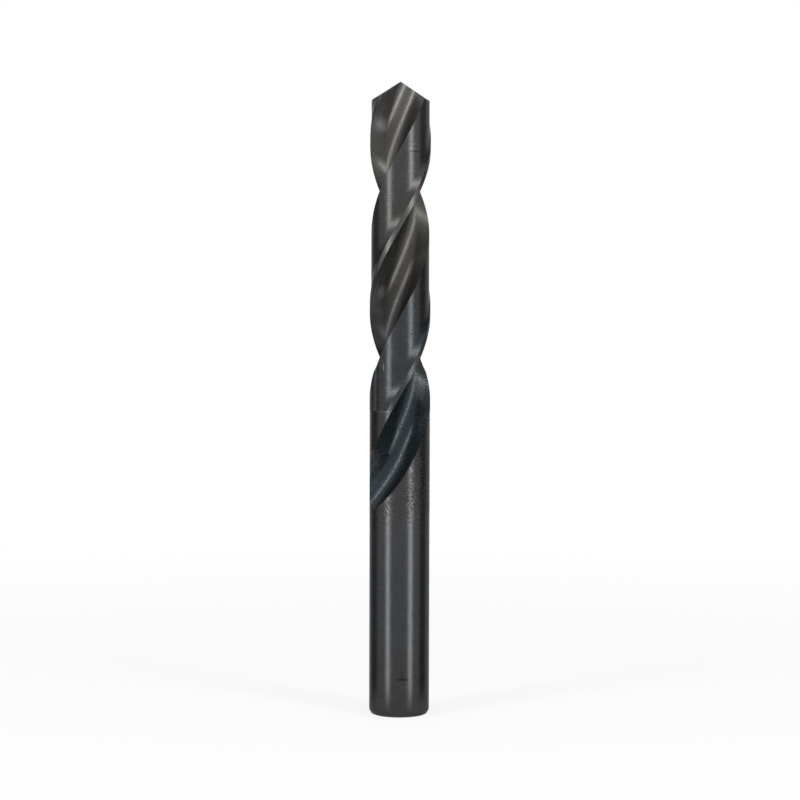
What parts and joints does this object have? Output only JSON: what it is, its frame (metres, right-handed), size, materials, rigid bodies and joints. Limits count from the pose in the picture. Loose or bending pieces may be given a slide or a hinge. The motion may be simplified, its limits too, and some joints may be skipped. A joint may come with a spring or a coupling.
{
  "type": "twist drill bit",
  "caption": "Right-hand twist drill bit with helical flutes, a conical point and a plain cylindrical shank.",
  "frame": {"origin": "centre of the flat shank end, which the bit stands on", "axes": "+Z along the bit's axis towards the point; +Y points away from the picture's viewer"},
  "size_m": [0.019, 0.019, 0.198],
  "materials": {
    "tool_steel": "black oxide, satin"
  },
  "bodies": {
    "root": {"drill_bit": "tool_steel"}
  },
  "joints": []
}
